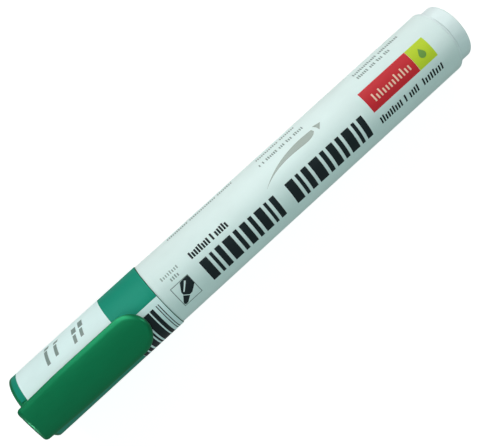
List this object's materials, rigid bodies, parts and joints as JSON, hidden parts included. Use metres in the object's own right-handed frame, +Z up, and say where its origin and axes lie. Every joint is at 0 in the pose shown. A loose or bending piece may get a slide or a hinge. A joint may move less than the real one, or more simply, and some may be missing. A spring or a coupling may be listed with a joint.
{
  "type": "whiteboard marker",
  "caption": "Round white marker with a fibre bullet nib, a push-on green cap with a broad pocket clip, printed films and a plug in its tail.",
  "frame": {"origin": "under the middle of the whole marker, at the height of the cap's underside", "axes": "+X along the marker towards its tail plug, +Z up through the pocket clip, +Y to the marker's left when seen from its tail"},
  "size_m": [0.1374, 0.018, 0.0215],
  "materials": {
    "green_plastic": "moulded polypropylene, satin gloss",
    "cap_film": "printed film, teal with a white panel",
    "natural_plastic": "unpigmented moulded polyethylene",
    "white_plastic": "moulded polypropylene, satin",
    "barrel_film": "printed film, white",
    "nib_fibre": "sintered fibre, wet with green ink",
    "ink_fibre": "bonded fibre rod soaked with green ink",
    "clear_film": "thin clear film"
  },
  "bodies": {
    "barrel_body": {"barrel": "white_plastic", "barrel_label": "barrel_film", "nib_holder": "white_plastic", "bullet_nib": "nib_fibre", "ink_reservoir": "ink_fibre", "reservoir_sleeve": "clear_film"},
    "inner_cap_body": {"inner_cap": "natural_plastic"},
    "cap_body": {"cap_shell": "green_plastic", "cap_label": "cap_film"},
    "clip_body": {"pocket_clip": "green_plastic"},
    "plug_body": {"tail_plug": "white_plastic"}
  },
  "joints": [
    {"name": "cap_pull", "type": "slide", "parent": "barrel_body", "child": "inner_cap_body", "axis": [-1, 0, 0], "range_m": [0, 0.045]},
    {"name": "cap_turn", "type": "hinge", "parent": "inner_cap_body", "child": "cap_body", "pos_m": [-0.0489, 0, 0.00899], "axis": [1, 0, 0], "continuous": true},
    {"name": "clip_flex", "type": "hinge", "parent": "cap_body", "child": "clip_body", "pos_m": [-0.0604, 0, 0.02009], "axis": [0, -1, 0], "range_deg": [0, 7], "stiffness_Nm_per_rad": 0.2},
    {"name": "plug_pull", "type": "slide", "parent": "barrel_body", "child": "plug_body", "axis": [1, 0, 0], "range_m": [0, 0.015]}
  ]
}
